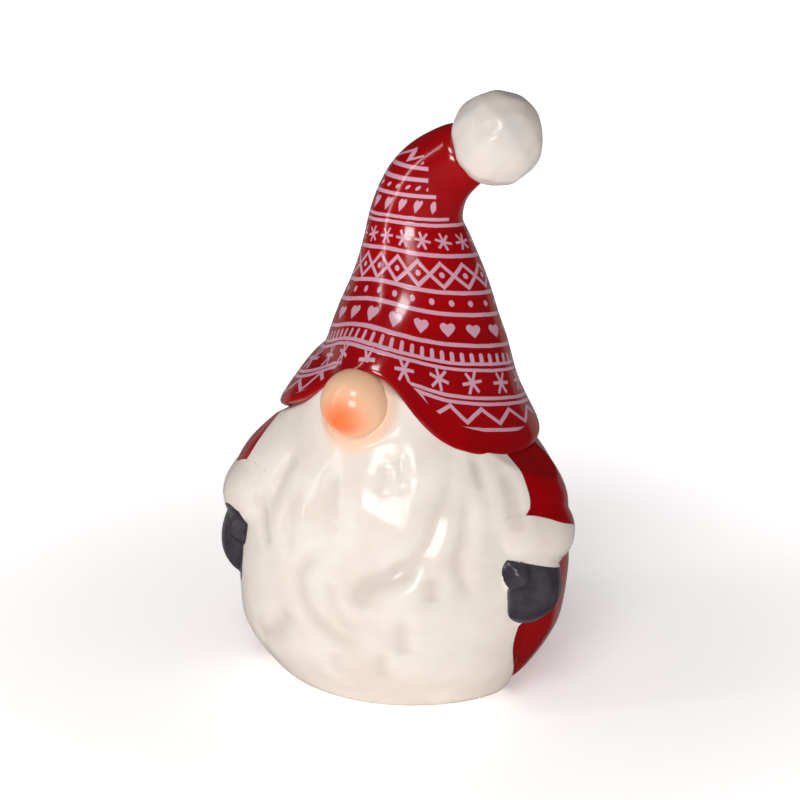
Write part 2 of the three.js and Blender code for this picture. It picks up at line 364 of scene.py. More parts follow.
def room_under_hat(turn, height):
    """How far the relief may stand out where it runs up behind the hat's edge."""
    a = np.radians(turn)
    middle = hat_middle(np.interp(height, hat_line[:, 2], hat_shares))
    reach = middle[..., 3] + hat_bulge(turn, height)
    reach = reach + middle[..., 0] * np.sin(a) - middle[..., 1] * np.cos(a)
    reach = reach + depth_loss * np.cos(a) ** 2 - coat_radius(height)
    below = np.clip(brim_height(turn) - height, -0.5, None)
    return reach - 2.2 + 1.6 * below


def relief(turn, height):
    """The whole relief above the bare coat, as one smooth skin, and the depth of its grooves.

    The last number of each soft_top is how wide the valley between two pads is filled."""
    beard, deep = beard_relief(turn, height)
    skin = np.zeros(turn.shape)
    for arm in arms.values():
        skin = soft_top(skin, pillow(turn, height, *arm["sleeve"]), 2.2)
    skin = soft_top(skin, beard, 8 * blend_up(80 - np.abs(turn), 0, 14) + 1.5)
    for arm in arms.values():
        skin = soft_top(skin, pillow(turn, height, *arm["cuff"]), 7)
        skin = soft_top(skin, pillow(turn, height, *arm["mitten"]), 2)
        skin = soft_top(skin, pillow(turn, height, *arm["thumb"]), 1.8)
    skin = skin + nose_fillet(turn, height, skin)
    return np.minimum(skin, room_under_hat(turn, height)), deep


# ---------------------------------------------------------------- modelling helpers


def start_piece(name):
    """Names the primitive that was just added and opens it for editing, all of it selected."""
    piece = bpy.context.object
    piece.name = name
    piece.data.name = name
    bpy.ops.object.mode_set(mode="EDIT")
    bpy.ops.mesh.select_all(action="SELECT")
    return piece


def places(piece):
    """The vertices of a piece, in millimetres."""
    flat = np.zeros(3 * len(piece.data.vertices), np.float32)
    piece.data.vertices.foreach_get("co", flat)
    return flat.reshape(-1, 3).astype(float) / mm


def put(piece, points_in_metres):
    """Moves every vertex of a piece to its new place."""
    piece.data.vertices.foreach_set("co", np.asarray(points_in_metres, np.float32).ravel())
    piece.data.update()


def write_attribute(piece, name, values):
    """Stores one number at each vertex, for the glazes to read."""
    layer = piece.data.attributes.new(name, "FLOAT", "POINT")
    layer.data.foreach_set("value", np.asarray(values, np.float32).ravel())


def apply(piece, kind, **settings):
    """Adds a modifier and applies it."""
    modifier = piece.modifiers.new(kind.title(), kind)
    for key, value in settings.items():
        setattr(modifier, key, value)
    bpy.context.view_layer.objects.active = piece
    bpy.ops.object.modifier_apply(modifier=modifier.name)


def subdivide(piece, levels):
    apply(piece, "SUBSURF", levels=levels, render_levels=levels)


def face_outwards():
    bpy.ops.mesh.select_all(action="SELECT")
    bpy.ops.mesh.normals_make_consistent(inside=False)


def finish_piece(piece, material, slot, *nodes, sharp=None):
    """Shades a piece smooth, gives it its finish, and lets it stand for its CAD nodes."""
    bpy.ops.object.select_all(action="DESELECT")
    piece.select_set(True)
    bpy.context.view_layer.objects.active = piece
    bpy.ops.object.transform_apply(location=True, rotation=True, scale=True)
    if sharp is None:
        bpy.ops.object.shade_smooth()
    else:
        bpy.ops.object.shade_smooth_by_angle(angle=math.radians(sharp))
    piece.data.materials.clear()
    piece.data.materials.append(material)
    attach(piece, "root")
    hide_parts(*nodes)


def raise_rings(name, columns, rings, place):
    """A circle is extruded ring by ring. `place` says where the ring of that number goes, as
    metres, for the turns of its vertices. Returns the piece."""
    bpy.ops.object.select_all(action="DESELECT")
    bpy.ops.mesh.primitive_circle_add(vertices=columns, radius=belly * mm)
    piece = start_piece(name)
    shape = bmesh.from_edit_mesh(piece.data)
    column = shape.verts.layers.int.new("column")
    for k, vertex in enumerate(shape.verts):
        vertex[column] = k
    for ring in range(rings):
        if ring:
            bpy.ops.mesh.extrude_region()
        shape = bmesh.from_edit_mesh(piece.data)
        column = shape.verts.layers.int["column"]
        chosen = [vertex for vertex in shape.verts if vertex.select]
        turns = np.array([360 * vertex[column] / columns for vertex in chosen])
        turns = np.where(turns > 180, turns - 360, turns)
        for vertex, co in zip(chosen, place(turns, ring)):
            vertex.co = co
        bmesh.update_edit_mesh(piece.data)
    return piece


# ---------------------------------------------------------------- coat

columns_round = 72
# The coat swells by this much under the pieces pressed on it, and their backs lie this deep in it.
bedding = 0.8
coat_heights = [0, 0.8, 2, 4, 7, 11, 16, 22, 29, 36, 43, 50, 56, 62, 68, 74, 80, neck]


def make_coat(material):
    """The body of the gnome: a cast wall on a narrow foot ring."""

    def place(turns, ring):
        return on_coat(turns, coat_heights[ring] + 0 * turns, 0)

    piece = raise_rings("coat_shell", columns_round, len(coat_heights), place)
    face_outwards()
    bpy.ops.object.mode_set(mode="OBJECT")
    apply(piece, "SOLIDIFY", thickness=wall * mm, offset=-1)
    subdivide(piece, 2)
    # The outside swells softly where the arms and the beard are pressed on.
    points = places(piece)
    height = points[:, 2]
    x, y = points[:, 0] - axis[0], points[:, 1] - axis[1]
    reach = coat_radius(height)
    turn = np.degrees(np.arctan2(x / reach, -y / (reach - depth_loss)))
    outside = np.hypot(x / reach, y / (reach - depth_loss)) > 1 - wall / 3 / reach
    skin, _ = relief(turn, height)
    swollen = on_coat(turn, height, np.minimum(skin, bedding))
    put(piece, np.where((outside & (height > 1))[:, None], swollen, points * mm))
    finish_piece(piece, material, "coat_red", "coat")


# ---------------------------------------------------------------- pieces pressed on the coat


def four_sided(points):
    """A closed smooth outline as a field: shares across and up give (turn, height)."""
    loop = smooth(points, 24, closed=True)
    quarter = (len(loop) - 1) // 4
    sides = [loop[k * quarter : (k + 1) * quarter + 1] for k in range(4)]
    steps = np.linspace(0, 1, quarter + 1)

    def side(k, share):
        return np.stack([np.interp(share, steps, sides[k][:, n]) for n in (0, 1)], -1)

    def field(across, up):
        u, v = across[:, None], up[:, None]
        edges = (1 - v) * side(0, across) + v * side(2, 1 - across)
        edges = edges + (1 - u) * side(3, 1 - up) + u * side(1, up)
        corners = (1 - u) * (1 - v) * sides[0][0] + u * (1 - v) * sides[1][0]
        corners = corners + u * v * sides[2][0] + (1 - u) * v * sides[3][0]
        return (edges - corners).T

    return field


def covered(turn, height, names):
    """1 well inside the painted outline of any of the named pieces, 0 outside all of them."""
    tiny = 1e-12
    most = np.zeros(turn.shape)
    for name in names:
        loop = smooth(borders[name], 6, closed=True)
        loop = np.stack((np.radians(loop[:, 0]) * belly, loop[:, 1]), -1)
        x, y = np.radians(turn) * belly, height
        near = (x > loop[:, 0].min()) & (x < loop[:, 0].max())
        near &= (y > loop[:, 1].min()) & (y < loop[:, 1].max())
        x, y = x[near], y[near]
        inside = np.zeros(x.shape, bool)
        gap = np.full(x.shape, 1e9)
        for (ax, ay), (bx, by) in zip(loop, loop[1:]):
            crosses = (ay > y) != (by > y)
            inside ^= crosses & (x < (bx - ax) * (y - ay) / (by - ay + tiny) + ax)
            run = (bx - ax) ** 2 + (by - ay) ** 2 + tiny
            t = np.clip(((x - ax) * (bx - ax) + (y - ay) * (by - ay)) / run, 0, 1)
            gap = np.minimum(gap, np.hypot(x - ax - t * (bx - ax), y - ay - t * (by - ay)))
        most[near] = np.maximum(most[near], blend_up(np.where(inside, gap, 0), 0.25, 1.1))
    return most


def press_on(name, field, fine, lift, on_top):
    """A grid is given a thickness and wrapped on the coat, its front on the relief's skin. It
    sinks where the pieces named in on_top cover it."""
    bpy.ops.object.select_all(action="DESELECT")
    bpy.ops.mesh.primitive_grid_add(x_subdivisions=fine[0], y_subdivisions=fine[1], size=2)
    piece = start_piece(name)
    bpy.ops.mesh.extrude_region_move(TRANSFORM_OT_translate={"value": (0, 0, 1)})
    bpy.ops.object.mode_set(mode="OBJECT")
    flat = places(piece) * mm
    front = flat[:, 2] > 0.5
    across, up = flat[:, 0] / 2 + 0.5, flat[:, 1] / 2 + 0.5
    turn, height = field(across, up)
    skin, deep = relief(turn, height)
    sunk = skin + lift - bedding * covered(turn, height, on_top)
    put(piece, on_coat(turn, height, np.where(front, sunk, -bedding)))
    rim = np.minimum(np.minimum(across, 1 - across) * fine[0], np.minimum(up, 1 - up) * fine[1])
    write_attribute(piece, "rim", rim)
    # How deep each place lies in a groove. The white glaze paints shade from this.
    write_attribute(piece, "groove", deep)
    bpy.ops.object.mode_set(mode="EDIT")
    face_outwards()
    bpy.ops.object.mode_set(mode="OBJECT")
    return piece


# Where the paint of each piece ends, as (turn, height), from its lower inner corner onwards.
borders = {
    "sleeve_left": [
        (65, 53),
        (78, 47),
        (90, 44),
        (100, 46),
        (104, 56),
        (103, 68),
        (99, 75),
        (86, 77),
        (73, 76),
        (71.5, 68),
        (70.5, 62),
        (69, 57),
    ],
    "cuff_left": [
        (52, 45.5),
        (65, 42.1),
        (81, 37.8),
        (92, 35.4),
        (99, 37),
        (100, 42),
        (91, 47),
        (80, 50.6),
        (73, 53.2),
        (66, 54.8),
        (57, 54.2),
        (51, 50),
    ],
    "mitten_left": [
        (59, 27.6),
        (64, 24.9),
        (71, 25.4),
        (78, 29),
        (82, 34),
        (83, 40),
        (80, 43.5),
        (70, 45),
        (62, 45.5),
        (59, 42),
        (58, 37),
        (58, 32),
    ],
    "thumb_left": [
        (57.8, 36.4),
        (60.5, 34.6),
        (64, 34.4),
        (66.5, 36.5),
        (67.2, 40),
        (66.6, 43),
        (64, 44.6),
        (60.5, 44.4),
        (58, 43.4),
        (56.4, 41.6),
        (56.2, 39.6),
        (56.8, 37.8),
    ],
    "sleeve_right": [
        (-96, 56),
        (-90, 49),
        (-78, 48.5),
        (-68, 52.5),
        (-58, 56),
        (-51, 58.2),
        (-49.5, 62),
        (-52, 68),
        (-57, 75),
        (-68, 79),
        (-82, 77),
        (-93, 68),
    ],
    "cuff_right": [
        (-92, 41),
        (-84, 39.2),
        (-72, 41.4),
        (-62, 44.8),
        (-50, 48.4),
        (-41, 48),
        (-36, 53),
        (-38, 60.5),
        (-48, 61),
        (-60, 57.6),
        (-73, 53.6),
        (-88, 47),
    ],
    "mitten_right": [
        (-72, 28.6),
        (-64, 25.4),
        (-55, 24.6),
        (-48, 27),
        (-46.5, 32),
        (-47, 40),
        (-46, 47),
        (-52, 51),
        (-64, 48),
        (-75, 44),
        (-78, 38),
        (-76, 32),
    ],
    "thumb_right": [
        (-55, 40),
        (-52, 37.4),
        (-48, 36.8),
        (-44.6, 38.4),
        (-43, 41.6),
        (-42.4, 45.4),
        (-44.6, 49),
        (-48.6, 50.4),
        (-52.6, 49.4),
        (-55, 47),
        (-56, 44),
        (-56, 42),
    ],
}


beard_foot, beard_top = 0.2, 93
sharp_fold = 60


def beard_field(across, up):
    """Shares across and up the beard as (turn, height)."""
    height = up * (beard_top - beard_foot) + beard_foot
    left, right = beard_left_edge(height), -beard_right_edge(height)
    return right + (left - right) * across, height


def make_pressed_pieces(paints):
    """The beard, then both arms. What comes later in the list lies over what comes before."""
    mat = press_on("beard_mat", beard_field, (210, 170), 0, tuple(borders))
    finish_piece(mat, paints["beard"], "beard_white", "beard", sharp=sharp_fold)
    # Kind, how far it lies above the shared skin, and its slot.
    kinds = (
        ("sleeve", 0.02, "coat_red"),
        ("mitten", 0.03, "mitten_grey"),
        ("thumb", 0.045, "mitten_grey"),
        ("cuff", 0.05, "beard_white"),
    )
    for side in ("left", "right"):
        for k, (kind, lift, slot) in enumerate(kinds):
            name = f"{kind}_{side}"
            above = [f"{other}_{side}" for other, *_ in kinds[k + 1 :]]
            shape = four_sided(borders[name])
            piece = press_on(f"{name}_relief", shape, (56, 56), lift, above)
            finish_piece(piece, paints[kind], slot, name, sharp=sharp_fold)


# ---------------------------------------------------------------- hat


def on_hat(turn, share, out, drop=0):
    """Places in metres on the hat, from its edge (share 0) to its tip (share 1)."""
    start = (brim_height(turn) - hat_start) / hat_gain
    along = start + (1 - start) * share
    middle = hat_middle(along)
    step = 0.004
    ahead = hat_middle(np.minimum(along + step, 1))[:, :3]
    behind = hat_middle(np.minimum(along + step, 1) - 2 * step)[:, :3]
    rise = ahead - behind
    sideways = np.stack((rise[:, 2], 0 * along, -rise[:, 0]), -1)
    sideways /= np.linalg.norm(sideways, axis=1)[:, None]
    angle = np.radians(turn)
    r = middle[:, 3] + hat_bulge(turn, middle[:, 2]) + out
    point = middle[:, :3] + sideways * (r * np.sin(angle))[:, None]
    point[:, 1] -= r * np.cos(angle)
    point[:, :2] += axis
    point[:, 2] -= drop
    return point * mm


# The hat's section, from the end of its inner wall round the lip and up to the tip: share of the
# way from edge to tip, how far out of the hat's surface, and how far below it.
hat_section = [
    (0.42, -wall, 0),
    (0.28, -wall, 0),
    (0.16, -wall, 0),
    (0.07, -wall, 0),
    (0.02, -wall - 1.6, 0),
    (0, -wall - 2, 0.1),
    (0, -3.4, 0.7),
    (0, -1.3, 0.6),
    (0, -0.2, 0.1),
    (0.006, 0.3, 0),
    (0.02, 0.45, 0),
    (0.045, 0.2, 0),
    (0.08, 0, 0),
] + [(0.08 + 0.92 * k / 17, 0, 0) for k in range(1, 18)]


def band_level(turn, height):
    """The height of the printed rows at each place: they dip behind and rise over the nose."""
    tilt = 4.5 - 0.095 * (height - 100)
    hump = 27 * np.exp((76 - height) / 16) - 3.8 * np.exp((76 - height) / 32)
    return height - tilt * np.cos(np.radians(turn)) - hump * bell(turn + 6, 30)


def turns_round_hat(points):
    """The turn of each place about the hat's middle line, as seen from above."""
    along = np.interp(points[:, 2], hat_line[:, 2], hat_shares)
    middle = hat_middle(along)
    x = points[:, 0] - axis[0] - middle[:, 0]
    y = points[:, 1] - axis[1] - middle[:, 1]
    return np.degrees(np.arctan2(x, -y))


def make_hat(material):
    """The hat is raised ring by ring from the end of its inner wall, round its lip to its tip."""

    def place(turns, ring):
        share, out, drop = hat_section[ring]
        return on_hat(turns, share + 0 * turns, out, drop)

    piece = raise_rings("hat_shell", columns_round, len(hat_section), place)
    # The tip ends in a rounded cap that is hidden in the pompom.
    tip = Vector(((hat_tip[0] + axis[0]) * mm, (hat_tip[1] + axis[1]) * mm, hat_tip[2] * mm))
    for size in (0.7, 0.4, 0.02):
        onward = (0.7 * mm, 0, 0.3 * mm)
        bpy.ops.mesh.extrude_region_move(TRANSFORM_OT_translate={"value": onward})
        bpy.ops.transform.resize(value=(size, size, size), center_override=tip)
    bpy.ops.mesh.merge(type="CENTER")
    # The inner wall is closed across, well inside the hat.
    shape = bmesh.from_edit_mesh(piece.data)
    open_edges = [edge for edge in shape.edges if edge.is_boundary]
    for face in shape.faces:
        face.select_set(False)
    for edge in open_edges:
        edge.select_set(True)
    bmesh.update_edit_mesh(piece.data)
    bpy.ops.mesh.extrude_region()
    bpy.ops.transform.resize(value=(0.5, 0.5, 1))
    bpy.ops.mesh.extrude_region()
    bpy.ops.mesh.merge(type="CENTER")
    face_outwards()
    bpy.ops.object.mode_set(mode="OBJECT")
    subdivide(piece, 2)
    # What the print needs to know of each place.
    points = places(piece)
    height = points[:, 2]
    turn = turns_round_hat(points)
    rise = band_level(turn, height + 0.5) - band_level(turn, height - 0.5)
    write_attribute(piece, "turn_sine", np.sin(np.radians(turn)))
    write_attribute(piece, "turn_cosine", np.cos(np.radians(turn)))
    write_attribute(piece, "level", band_level(turn, height))
    write_attribute(piece, "stretch", rise)
    write_attribute(piece, "margin", height - brim_height(turn))
    plain_radius = np.interp(height, hat_line[:, 2], hat_line[:, 3])
    write_attribute(piece, "swell", 1 + hat_bulge(turn, height) / plain_radius)
    finish_piece(piece, material, "hat_red", "hat")


# ---------------------------------------------------------------- nose and pompom


def make_nose(material):
    """A ball, a little broad and flat below, sunk into the beard."""
    bpy.ops.object.select_all(action="DESELECT")
    bpy.ops.mesh.primitive_uv_sphere_add(
        segments=48, ring_count=24, radius=1, location=Vector(nose_middle) * mm
    )
    piece = start_piece("nose_ball")
    bpy.ops.transform.resize(value=Vector((nose_half[0], nose_half[0], nose_half[2])) * mm)
    bpy.ops.transform.resize(value=(1.03, 1, 1.02), center_override=Vector(nose_middle) * mm)
    bpy.ops.object.mode_set(mode="OBJECT")
    bpy.ops.object.transform_apply(location=True, rotation=True, scale=True)
    subdivide(piece, 1)
    points = places(piece)
    # Its lower half sags forward a little, and its back spreads where it is luted on.
    off = points - nose_middle
    spread = 1 + 0.16 * blend_up(off[:, 1], 1, 8)
    off[:, 0] *= spread
    off[:, 2] *= spread
    off[:, 1] -= 0.5 * bell(off[:, 2] + 4, 5) * (off[:, 1] < 0)
    put(piece, (off + nose_middle) * mm)
    finish_piece(piece, material, "nose_skin", "nose")


pompom_flats = 30
# Each flat is turned this much on from the last, in radians, so that they spread evenly.
golden_turn = 2.39996
flat_softness = 0.11


def make_pompom(material):
    """A ball with soft flats pressed all over it, as from a modelling tool."""
    bpy.ops.object.select_all(action="DESELECT")
    bpy.ops.mesh.primitive_ico_sphere_add(subdivisions=5, radius=1)
    piece = start_piece("pompom_ball")
    bpy.ops.object.mode_set(mode="OBJECT")
    way = places(piece) * mm
    way /= np.linalg.norm(way, axis=1)[:, None]
    size = np.full(len(way), 1.035)
    for k in range(pompom_flats):
        z = 1 - 2 * (k + 0.5) / pompom_flats
        spin = golden_turn * k + 0.6
        flat = np.array((math.cos(spin), math.sin(spin), 0)) * math.sqrt(1 - z * z)
        flat[2] = z
        facing = np.clip(way @ flat, 0.2, 1)
        limit = (1.012 + 0.014 * math.sin(5.1 * k)) / facing
        near = np.clip(1 - np.abs(size - limit) / flat_softness, 0, None)
        size = np.minimum(size, limit) - near**2 * flat_softness / 4
    dimple = np.sin(9 * way[:, 0] + 2) * np.sin(10 * way[:, 1] + 1) * np.sin(9 * way[:, 2])
    size = size + 0.014 * dimple + 0.012
    half = np.array((pompom_half[0], pompom_half[0], pompom_half[0] * 1.04))
    put(piece, (pompom_middle + way * size[:, None] * half) * mm)
    finish_piece(piece, material, "pompom_white", "pompom")


# ---------------------------------------------------------------- shader maths


class Number:
    """A shader's number that can be reckoned with, one Math node for each step."""

    def __init__(self, shader, socket):
        self.shader, self.socket = shader, socket

    def reckon(self, operation, *others, swap=False):
        inputs = [self, *others]
        return self.shader.maths(operation, *(inputs[::-1] if swap else inputs))

    def __add__(self, other):
        return self.reckon("ADD", other)

    def __sub__(self, other):
        return self.reckon("SUBTRACT", other)

    def __mul__(self, other):
        return self.reckon("MULTIPLY", other)

    def __truediv__(self, other):
        return self.reckon("DIVIDE", other)

    def __rsub__(self, other):
        return self.reckon("SUBTRACT", other, swap=True)

    def __rtruediv__(self, other):
        return self.reckon("DIVIDE", other, swap=True)

    def __abs__(self):
        return self.reckon("ABSOLUTE")

    def __gt__(self, other):
        return self.reckon("GREATER_THAN", other)

    __radd__ = __add__
    __rmul__ = __mul__


class Shader:
    """A material's nodes. `node` makes any node, and the rest are short names for common ones."""

    def __init__(self, name):
        self.material = bpy.data.materials.new(name)
        self.material.use_nodes = True
        self.tree = self.material.node_tree
        self.tree.nodes.clear()
        self.coordinates = self.node("ShaderNodeTexCoord").outputs["Object"]

    def node(self, kind, settings=None, **values):
        """Settings come first, then the sockets, by name, or by number as i0, i1 and so on."""
        made = self.tree.nodes.new(kind)
        for key, value in (settings or {}).items():
            setattr(made, key, value)
        for key, value in values.items():
            place = int(key[1:]) if key[0] == "i" and key[1:].isdigit() else key.replace("_", " ")
            self.feed(made.inputs[place], value)
        return made

    def feed(self, socket, value):
        """Links a socket to a socket or a Number, or sets it to a constant."""
        value = value.socket if isinstance(value, Number) else value
        if isinstance(value, bpy.types.NodeSocket):
            self.tree.links.new(value, socket)
        else:
            socket.default_value = value

    def maths(self, operation, *inputs):
        values = {f"i{k}": value for k, value in enumerate(inputs)}
        made = self.node("ShaderNodeMath", {"operation": operation}, **values)
        return Number(self, made.outputs[0])

    def attribute(self, name):
        made = self.node("ShaderNodeAttribute", {"attribute_name": name})
        return Number(self, made.outputs["Fac"])

    def parts(self, vector):
        made = self.node("ShaderNodeSeparateXYZ", i0=vector)
        return [Number(self, output) for output in made.outputs]

    def mix(self, share, a, b):
        """Colour a at share 0, b at share 1."""
        made = self.node("ShaderNodeMix", {"data_type": "RGBA", "clamp_factor": True})
        self.feed(made.inputs[0], share)
        self.feed(made.inputs[6], a)
        self.feed(made.inputs[7], b)
        return made.outputs[2]

    def noise(self, size, detail=2.0, roughness=0.5):
        """Soft noise whose lumps are about `size` mm wide."""
        made = self.node(
            "ShaderNodeTexNoise",
            Vector=self.coordinates,
            Scale=1 / (size * mm),
            Detail=detail,
            Roughness=roughness,
        )
        return Number(self, made.outputs["Fac"])

    def step(self, value, start, end):
        """0 where the value is at or before start, 1 at or past end."""
        made = self.node(
            "ShaderNodeMapRange",
            {"interpolation_type": "SMOOTHSTEP"},
            i0=value,
            i1=start,
            i2=end,
        )
        return Number(self, made.outputs[0])

    def distance(self, place):
        """Distance from a place, in millimetres."""
        made = self.node(
            "ShaderNodeVectorMath",
            {"operation": "DISTANCE"},
            i0=self.coordinates,
            i1=tuple(np.array(place) * mm),
        )
        return Number(self, made.outputs["Value"]) / mm

    def pinholes(self, apart, radius, often):
        """Tiny pits that the glaze leaves where a bubble burst."""
        made = self.node(
            "ShaderNodeTexVoronoi",
            {"feature": "F1"},
            Vector=self.coordinates,
            Scale=1 / (apart * mm),
            Randomness=1.0,
        )
        chance = self.parts(made.outputs["Color"])[0]
        off = Number(self, made.outputs["Distance"])
        pit = self.step(off, radius / apart, 0.5 * radius / apart)
        return pit * (chance > 1 - often)

    def finish(self, colour, roughness, bump=None, gloss=0.5, soft=0.0):
        """Joins the glaze together. Constant values stay on the shader's own sockets."""
        surface = self.node("ShaderNodeBsdfPrincipled", Base_Color=colour, Roughness=roughness)
        surface.inputs["Specular IOR Level"].default_value = gloss
        if soft:
            surface.inputs["Subsurface Weight"].default_value = soft
            surface.inputs["Subsurface Radius"].default_value = (1.0, 0.6, 0.4)
            surface.inputs["Subsurface Scale"].default_value = 1.2 * mm
        if bump is not None:
            lump = self.node("ShaderNodeBump", Height=bump, Distance=1.0)
            self.feed(surface.inputs["Normal"], lump.outputs["Normal"])
        out = self.node("ShaderNodeOutputMaterial")
        self.tree.links.new(surface.outputs[0], out.inputs["Surface"])
        return self.material


def linear(red, green, blue):
    """A colour given as on a paint card, 0 to 255, as the light it gives back."""

    def light(value):
        share = value / 255
        return share / 12.92 if share <= 0.04045 else ((share + 0.055) / 1.055) ** 2.4

    return (light(red), light(green), light(blue), 1.0)


# ---------------------------------------------------------------- paints and glazes

white_glaze = linear(240, 231, 221)
white_thick = linear(228, 215, 203)
pompom_white = linear(211, 204, 199)
# Painted shade, for the bottoms of the grooves in the white glaze.
white_groove_shade = linear(203, 188, 176)
peach = linear(246, 197, 160)
# Painted shade, for the underside of the nose.
peach_shade_below = linear(226, 172, 136)
blush = linear(246, 118, 66)
hat_red = linear(162, 2, 8)
hat_red_deep = linear(130, 2, 12)
coat_red = linear(166, 2, 7)
coat_red_deep = linear(130, 2, 10)
pink_edge = linear(205, 120, 130)
print_pink = linear(205, 158, 176)
mitten_grey = linear(56, 52, 58)
mitten_pale = linear(88, 84, 90)
mitten_thin = linear(118, 114, 118)
pit_brown = linear(112, 92, 80)
bare_clay = linear(222, 207, 188)
bare_clay_dark = linear(196, 178, 158)


def glaze_waves(shader, strength):
    """The faint unevenness that a dipped glaze keeps, in metres of height."""
    broad = shader.noise(9, 1.0) * (0.035 * strength)
    fine = shader.noise(2.2, 2.0) * (0.004 * strength)
    return (broad + fine) * mm


def white_paint(name, white=white_glaze, shade_grooves=True, by_nose=False):
    """White glaze, warmer in patches where it pools, darker in its grooves as painted shade, and
    with pinholes. By the nose it takes on some peach.
    """
    shader = Shader(name)
    tone = shader.step(shader.noise(14, 3), 0.35, 0.7)
    colour = shader.mix(tone * 0.7, white, white_thick)
    # Painted shade: the white is darkened deep in the grooves.
    if shade_grooves:
        deep = shader.step(shader.attribute("groove"), 0.15, 1.8)
        colour = shader.mix(deep * 0.5, colour, white_groove_shade)
    if by_nose:
        distance = shader.distance(nose_middle + np.array((0, -1, -1.2)))
        halo = shader.step(distance, nose_half[0] + 4.2, nose_half[0] + 0.2)
        colour = shader.mix(halo * 0.75, colour, peach)
    pits = shader.pinholes(apart=6.5, radius=0.2, often=0.2)
    colour = shader.mix(pits * 0.8, colour, pit_brown)
    height = glaze_waves(shader, 1) - pits * (0.05 * mm)
    roughness = shader.noise(5) * 0.05 + 0.12
    return shader.finish(colour, roughness, height, gloss=0.34, soft=0.12)


def red_paint(name, bright, deep, clay_foot=False, by_rim=False):
    """Red under the glaze, paler where the brush thinned out at a rim, and wiped off the foot."""
    shader = Shader(name)
    tone = shader.step(shader.noise(16, 2), 0.3, 0.75)
    colour = shader.mix(tone * 0.6, bright, deep)
    if by_rim:
        thin = shader.step(shader.attribute("rim"), 1.2, 0.3)
        colour = shader.mix(thin * 0.5, colour, pink_edge)
    if clay_foot:
        height = shader.parts(shader.coordinates)[2] / mm
        colour = shader.mix(shader.step(height, 0.7, 0.3), colour, bare_clay)
    roughness = shader.noise(6) * 0.05 + 0.13
    return shader.finish(colour, roughness, glaze_waves(shader, 1), gloss=0.6)


def grey_paint(name, rim_tone):
    """Brushed grey. rim_tone is how much paler it is at the piece's rim."""
    shader = Shader(name)
    tone = shader.step(shader.noise(5, 3), 0.3, 0.7)
    colour = shader.mix(tone * 0.5, mitten_grey, mitten_pale)
    thin = shader.step(shader.attribute("rim"), 5, 0.3)
    colour = shader.mix(thin * rim_tone, colour, mitten_thin)
    roughness = shader.noise(4) * 0.06 + 0.2
    return shader.finish(colour, roughness, glaze_waves(shader, 1.3), gloss=0.35)


def skin_paint():
    """The nose's peach, with its orange blush low on the front, and painted shade darkening its
    underside.
    """
    shader = Shader("nose_glaze")
    spot = shader.distance(nose_middle + np.array((0, -7.6, -2.4)))
    warm = shader.step(spot, 9.2, 1.4)
    ragged = shader.noise(3, 3) * 0.25 + 0.85
    colour = shader.mix(warm * ragged, peach, blush)
    # Painted shade: the peach darkens towards the nose's underside.
    height = shader.parts(shader.coordinates)[2] / mm
    low = shader.step(height, nose_middle[2] - 4, nose_middle[2] - 9)
    colour = shader.mix(low * 0.45, colour, peach_shade_below)
    return shader.finish(colour, 0.15, glaze_waves(shader, 0.7), gloss=0.45, soft=0.15)


def clay_paint():
    """Unglazed fired clay."""
    shader = Shader("bare_clay")
    grain = shader.noise(0.7, 4, 0.7)
    colour = shader.mix(shader.step(shader.noise(7, 3), 0.3, 0.7), bare_clay, bare_clay_dark)
    return shader.finish(colour, grain * 0.2 + 0.7, grain * (0.05 * mm), gloss=0.3)


# ---------------------------------------------------------------- the print on the hat


